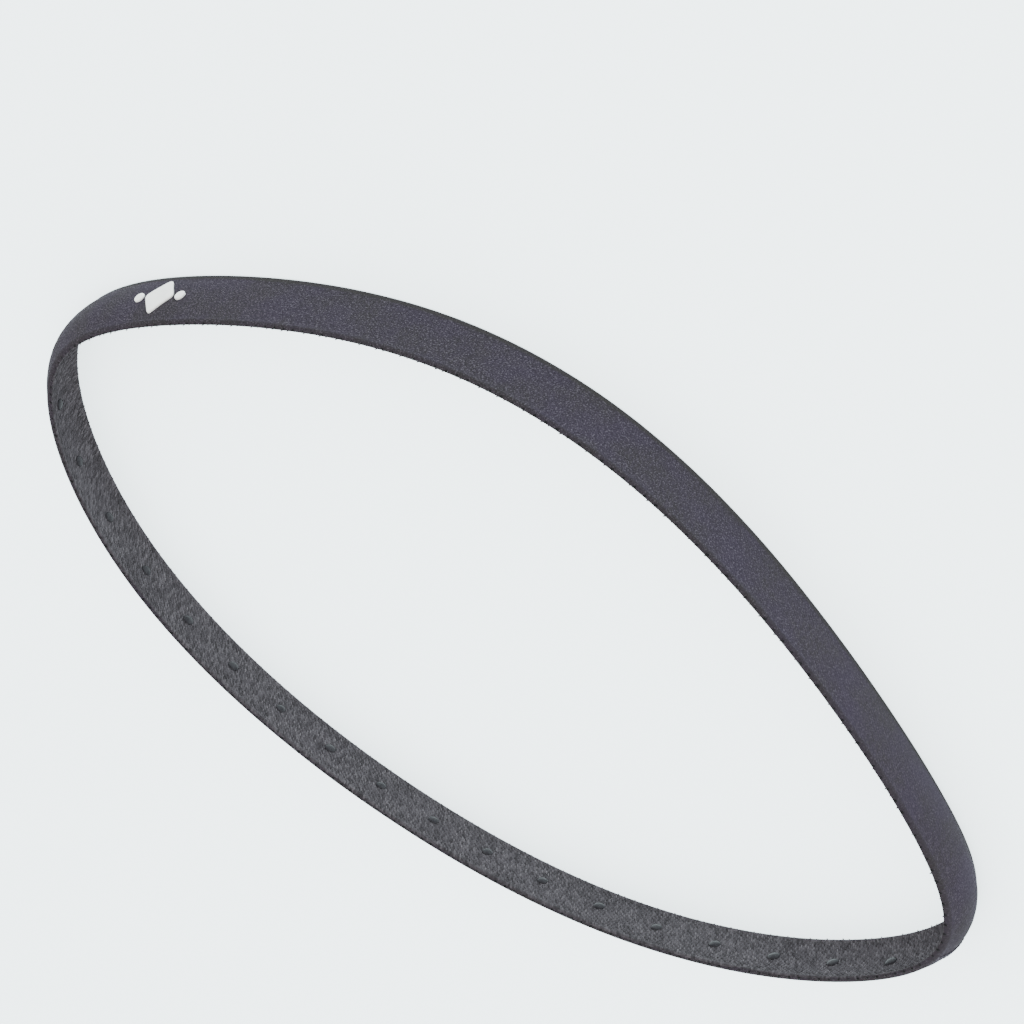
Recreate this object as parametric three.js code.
// Sports headband: one narrow woven elastic tape whose two ends meet edge to edge and are sewn into
// a loop with a zigzag. Its inner face carries a row of silicone grip dots, and its outer face a
// raised emblem.
//
// Units are millimetres and +Z is up. The loop stands on one selvedge, as it does when it is put
// down on a table, and is a long oval with a tight bend at each end.
//
// Every piece is first laid out flat on the straight tape, with x along it, y across it and z out
// of its outer face, and is then bent round the loop by onTape().

import * as THREE from 'three';

// ---- Driving dimensions ------------------------------------------------------------------------

const TAPE_WIDTH = 12;
const TAPE_THICKNESS = 1;
const CLEARANCE = 0.3; // gap between pieces that lie on each other, and between the tape's two ends

const DOT_COUNT = 38;
const DOT_PITCH = 12.3;
const DOT_RADIUS = 1.05;
const DOT_HEIGHT = 0.5;
const FIRST_DOT = 12; // from the middle of the join

const EMBLEM_CENTRE = 197; // from the middle of the join
const EMBLEM_HEIGHT = 0.4;
const LOZENGE_LENGTH = 7.2;
const LOZENGE_WIDTH = 8.4;
const LOZENGE_CORNER = 0.9; // cut back from each corner before it is rounded
const SIDE_DISC_RADIUS = 1;
const SIDE_DISC_OFFSET = 5.2;

const ZIGZAG_WIDTH = 2.4; // along the tape, half of it on each side of the join
const ZIGZAG_LENGTH = 11; // across the tape
const ZIGZAG_HEIGHT = 0.35;

// The loop is laid out by the turn angle: 0 at the bend on +X, growing anticlockwise. Its lower
// selvedge is an oval with these waves added.
const HALF_SPAN = 94; // from the middle to each bend, along X
const HALF_BREADTH = 52.5; // from the middle to each long side, along Y, before the waves
const BEND_OFFSET = 9.5; // how far the +X bend lies towards +Y, and the -X bend towards -Y
const BEND_PINCH = 3; // draws both bends in towards a fold, and the long sides out by as much
const SIDE_SKEW = 2; // moves the widest place of both long sides towards +X
const QUARTER_SHIFT = 1.5; // moves the four quarters towards +Y, and the sides and bends towards -Y
const QUARTER_SKEW = 0.5; // moves the line by turns towards +Y and -Y, halfway between those eight places

// The tape's lean from upright, in degrees. Where the four together come to more than 0, the tape
// leans outwards as it rises, and where they come to less than 0, inwards.
const LEAN_MEAN = -8;
const LEAN_AT_BENDS = -13; // added at the +X bend, and taken away at the -X bend
const LEAN_AT_SIDES = -10; // added on the +Y side, and taken away on the -Y side
const LEAN_AT_QUARTERS = 5; // added where X and Y have one sign, and taken away where they differ

const JOIN_POSITION = -2; // from the -X bend to the middle of the join, along the loop
const BEND_CROWN = 2; // how far the middle of the tape bulges outwards at the two bends
const BEND_SHARPNESS = 4; // how quickly that bulge dies away beside them

// ---- Mesh fineness -----------------------------------------------------------------------------

const TAPE_STEPS_ALONG = 220;
const TAPE_STEPS_ACROSS = 4;
const ZIGZAG_STEPS_ALONG = 2;
const DOT_SIDES = 12;
const DOT_RINGS = 3;
const EMBLEM_CURVE_STEPS = 6; // on each rounded corner, and on each half of a disc
const LINE_SAMPLES = 2000;

// ---- Materials ---------------------------------------------------------------------------------

const tapeMaterial = new THREE.MeshStandardMaterial({ color: 0x504d5a, roughness: 0.85 });
const siliconeMaterial = new THREE.MeshStandardMaterial({ color: 0x1d1d20, roughness: 0.3 });
const emblemMaterial = new THREE.MeshStandardMaterial({ color: 0xe6e6e1, roughness: 0.6 });
const threadMaterial = new THREE.MeshStandardMaterial({ color: 0x45434e, roughness: 0.7 });

// ---- The loop's line ---------------------------------------------------------------------------

// The lower selvedge at a turn angle in radians, and the way it runs there.
function selvedge(turn) {
  const waves =
    BEND_OFFSET * Math.cos(turn) +
    SIDE_SKEW * Math.sin(2 * turn) -
    BEND_PINCH * Math.sin(3 * turn) -
    QUARTER_SHIFT * Math.cos(4 * turn) +
    QUARTER_SKEW * Math.sin(4 * turn);
  return new THREE.Vector3(HALF_SPAN * Math.cos(turn), HALF_BREADTH * Math.sin(turn) + waves, 0);
}

function selvedgeRun(turn) {
  const waves =
    -BEND_OFFSET * Math.sin(turn) +
    2 * SIDE_SKEW * Math.cos(2 * turn) -
    3 * BEND_PINCH * Math.cos(3 * turn) +
    4 * QUARTER_SHIFT * Math.sin(4 * turn) +
    4 * QUARTER_SKEW * Math.cos(4 * turn);
  return new THREE.Vector3(-HALF_SPAN * Math.sin(turn), HALF_BREADTH * Math.cos(turn) + waves, 0);
}

function leanAt(turn) {
  const degrees =
    LEAN_MEAN +
    LEAN_AT_BENDS * Math.cos(turn) +
    LEAN_AT_SIDES * Math.sin(turn) +
    LEAN_AT_QUARTERS * Math.sin(2 * turn);
  return THREE.MathUtils.degToRad(degrees);
}

// A point of the tape at a turn angle, a share of its width and a lift from its middle layer.
function onLoop(turn, across, lift) {
  const run = selvedgeRun(turn);
  const lean = leanAt(turn);
  const outwards = new THREE.Vector3(run.y, -run.x, 0).normalize();
  const upwards = new THREE.Vector3(0, 0, 1);

  const widthways = outwards.clone().multiplyScalar(Math.sin(lean));
  widthways.addScaledVector(upwards, Math.cos(lean));
  const faceNormal = outwards.clone().multiplyScalar(Math.cos(lean));
  faceNormal.addScaledVector(upwards, -Math.sin(lean));

  const nearBend = Math.cos(turn) ** BEND_SHARPNESS;
  const crown = BEND_CROWN * nearBend * 4 * across * (1 - across);
  const point = selvedge(turn);
  point.addScaledVector(widthways, across * TAPE_WIDTH);
  point.addScaledVector(faceNormal, lift + crown);
  if (across <= 0) point.z = 0; // the soft selvedge lies flat on what it stands on
  return point;
}

// The tape's middle line, once round from the -X bend.
class TapeLine extends THREE.Curve {
  getPoint(t) {
    return onLoop(Math.PI * (1 + 2 * t), 0.5, 0);
  }
}

const tapeLine = new TapeLine();
tapeLine.arcLengthDivisions = LINE_SAMPLES;
const loopLength = tapeLine.getLength();
const tapeLength = loopLength - CLEARANCE;

// A point at a length along the loop from the middle of the join.
function onTape(along, across, lift) {
  const share = THREE.MathUtils.euclideanModulo((JOIN_POSITION + along) / loopLength, 1);
  const turn = Math.PI * (1 + 2 * tapeLine.getUtoTmapping(share));
  return onLoop(turn, across, lift);
}

// Bends a geometry that lies flat on the tape, with its origin on the tape's middle line.
function bend(geometry, alongCentre, liftBase) {
  const position = geometry.attributes.position;
  const flat = new THREE.Vector3();
  for (let i = 0; i < position.count; i += 1) {
    flat.fromBufferAttribute(position, i);
    const across = 0.5 + flat.y / TAPE_WIDTH;
    const bent = onTape(alongCentre + flat.x, across, liftBase + flat.z);
    position.setXYZ(i, bent.x, bent.y, bent.z);
  }
  geometry.computeVertexNormals();
  return geometry;
}

const loop = new THREE.Group();

function addPiece(name, geometry, material) {
  const piece = new THREE.Mesh(geometry, material);
  piece.name = name;
  loop.add(piece);
  return piece;
}

// ---- Elastic tape ------------------------------------------------------------------------------

const flatTape = new THREE.BoxGeometry(
  tapeLength,
  TAPE_WIDTH,
  TAPE_THICKNESS,
  TAPE_STEPS_ALONG,
  TAPE_STEPS_ACROSS,
  1,
);
addPiece('elastic_tape', bend(flatTape, loopLength / 2, 0), tapeMaterial);

// ---- Silicone grip dots ------------------------------------------------------------------------

// Each dot is a low dome on the inner face, with its axis along the face's inward normal.
function domeProfile() {
  const points = [new THREE.Vector2(0, 0)];
  for (let ring = 0; ring <= DOT_RINGS; ring += 1) {
    const angle = (ring / DOT_RINGS) * (Math.PI / 2);
    const radius = ring === DOT_RINGS ? 0 : DOT_RADIUS * Math.cos(angle);
    points.push(new THREE.Vector2(radius, DOT_HEIGHT * Math.sin(angle)));
  }
  return points;
}

const dotAxis = new THREE.Vector3(0, 1, 0);
for (let i = 0; i < DOT_COUNT; i += 1) {
  const along = FIRST_DOT + i * DOT_PITCH;
  const middle = onTape(along, 0.5, 0);
  const base = onTape(along, 0.5, -TAPE_THICKNESS / 2 - CLEARANCE);
  const inward = base.clone().sub(middle).normalize();
  const name = `grip_dot_${String(i + 1).padStart(2, '0')}`;
  const dot = addPiece(name, new THREE.LatheGeometry(domeProfile(), DOT_SIDES), siliconeMaterial);
  dot.position.copy(base);
  dot.quaternion.setFromUnitVectors(dotAxis, inward);
}

// ---- Emblem ------------------------------------------------------------------------------------

// A plain lozenge between two small discs, the same either way up.
function lozengeShape() {
  const tip = LOZENGE_LENGTH / 2;
  const side = LOZENGE_WIDTH / 2;
  const corners = [[tip, 0], [0, side], [-tip, 0], [0, -side]].map(([x, y]) => new THREE.Vector2(x, y));
  const edge = Math.hypot(tip, side);
  const shape = new THREE.Shape();
  corners.forEach((corner, i) => {
    const before = corners[(i + 3) % 4];
    const after = corners[(i + 1) % 4];
    const entry = corner.clone().lerp(before, LOZENGE_CORNER / edge);
    const exit = corner.clone().lerp(after, LOZENGE_CORNER / edge);
    if (i === 0) shape.moveTo(entry.x, entry.y);
    else shape.lineTo(entry.x, entry.y);
    shape.quadraticCurveTo(corner.x, corner.y, exit.x, exit.y);
  });
  return shape;
}

function addEmblemPiece(name, shape, offset) {
  const options = { depth: EMBLEM_HEIGHT, bevelEnabled: false, curveSegments: EMBLEM_CURVE_STEPS };
  const geometry = new THREE.ExtrudeGeometry(shape, options);
  const lift = TAPE_THICKNESS / 2 + CLEARANCE;
  addPiece(name, bend(geometry, EMBLEM_CENTRE + offset, lift), emblemMaterial);
}

const discShape = new THREE.Shape().absarc(0, 0, SIDE_DISC_RADIUS, 0, Math.PI * 2);
addEmblemPiece('emblem_lozenge', lozengeShape(), 0);
addEmblemPiece('emblem_disc_1', discShape, -SIDE_DISC_OFFSET);
addEmblemPiece('emblem_disc_2', discShape, SIDE_DISC_OFFSET);

// ---- Zigzag of the join ------------------------------------------------------------------------

// The seam's needle thread lies on the outer face and its bobbin thread on the inner face, both
// over the place where the tape's two ends meet.
function addThread(name, lift) {
  const thread = new THREE.BoxGeometry(
    ZIGZAG_WIDTH,
    ZIGZAG_LENGTH,
    ZIGZAG_HEIGHT,
    ZIGZAG_STEPS_ALONG,
    TAPE_STEPS_ACROSS,
    1,
  );
  addPiece(name, bend(thread, 0, lift), threadMaterial);
}

const threadLift = TAPE_THICKNESS / 2 + CLEARANCE + ZIGZAG_HEIGHT / 2;
addThread('needle_thread', threadLift);
addThread('bobbin_thread', -threadLift);

// ---- Origin ------------------------------------------------------------------------------------

// The origin is under the middle of the loop's box, on the plane that it stands on.
const box = new THREE.Box3().setFromObject(loop);
const centre = box.getCenter(new THREE.Vector3());
loop.position.set(-centre.x, -centre.y, -box.min.z);

const headband = new THREE.Group();
headband.add(loop);

export default headband;
